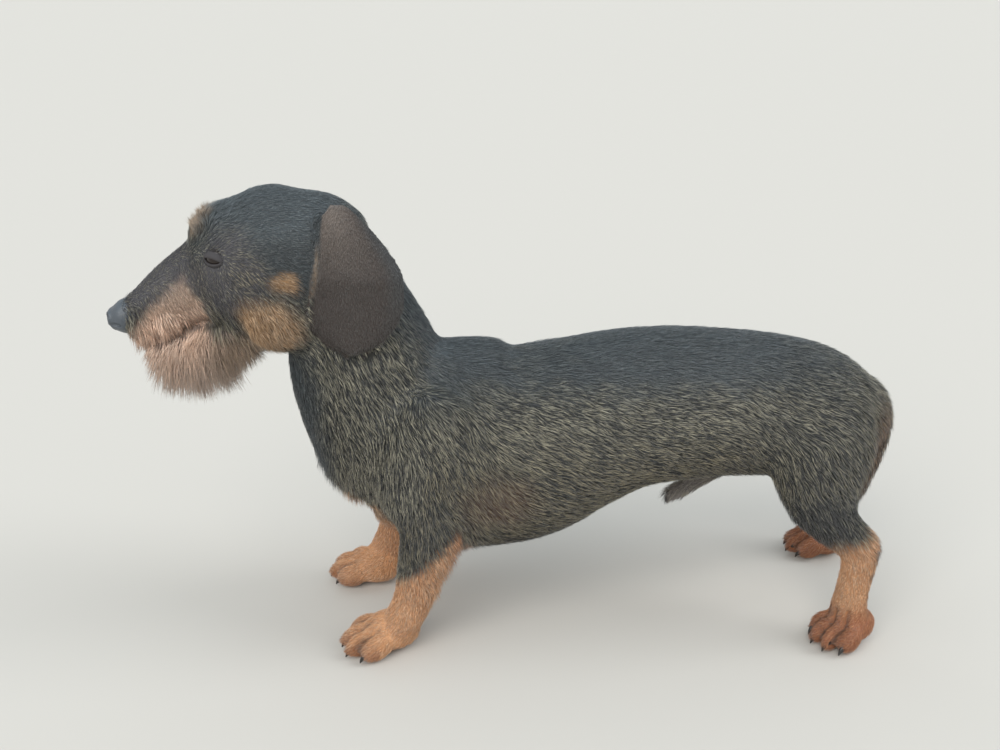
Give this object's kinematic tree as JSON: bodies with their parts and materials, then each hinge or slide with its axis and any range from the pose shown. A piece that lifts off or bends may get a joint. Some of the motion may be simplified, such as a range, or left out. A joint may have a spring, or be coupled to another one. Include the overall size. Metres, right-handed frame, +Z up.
{
  "type": "standing dachshund model",
  "caption": "Life-size model of a wire-haired dachshund standing still on four short legs, head lowered, with drop ears, beard and hanging tail.",
  "frame": {"origin": "middle of the dog's bounding box, on the floor the paws stand on", "axes": "-X is where the dog looks, -Y its left side, +Z up; +X is the longest extent and +Y the shortest"},
  "size_m": [0.6072, 0.1904, 0.3524],
  "materials": {
    "dark_coat": "short harsh wire coat, black with grey and cream tips",
    "tan_coat": "short to soft tan coat",
    "ear_coat": "velvet-short coat",
    "nose_leather": "moist, finely pebbled",
    "eye": "wet, glossy",
    "claw": "smooth horn"
  },
  "bodies": {
    "root": {"chest": "dark_coat", "claw_forepaw_left_1": "claw", "claw_forepaw_left_2": "claw", "claw_forepaw_left_3": "claw", "claw_forepaw_left_4": "claw", "claw_forepaw_right_1": "claw", "claw_forepaw_right_2": "claw", "claw_forepaw_right_3": "claw", "claw_forepaw_right_4": "claw", "claw_hindpaw_left_1": "claw", "claw_hindpaw_left_2": "claw", "claw_hindpaw_left_3": "claw", "claw_hindpaw_left_4": "claw", "claw_hindpaw_right_1": "claw", "claw_hindpaw_right_2": "claw", "claw_hindpaw_right_3": "claw", "claw_hindpaw_right_4": "claw", "ear_left": "ear_coat", "ear_right": "ear_coat", "eye_left": "eye", "eye_right": "eye", "forearm_left": "tan_coat", "forearm_right": "tan_coat", "forepaw_left": "tan_coat", "forepaw_right": "tan_coat", "hindpaw_left": "tan_coat", "hindpaw_right": "tan_coat", "loin": "dark_coat", "lower_jaw": "tan_coat", "muzzle": "tan_coat", "neck": "dark_coat", "nose": "nose_leather", "pastern_left": "tan_coat", "pastern_right": "tan_coat", "rump": "dark_coat", "shank_left": "dark_coat", "shank_right": "dark_coat", "sheath": "dark_coat", "skull": "dark_coat", "tail": "dark_coat", "thigh_left": "dark_coat", "thigh_right": "dark_coat", "upper_arm_left": "dark_coat", "upper_arm_right": "dark_coat"}
  },
  "joints": []
}
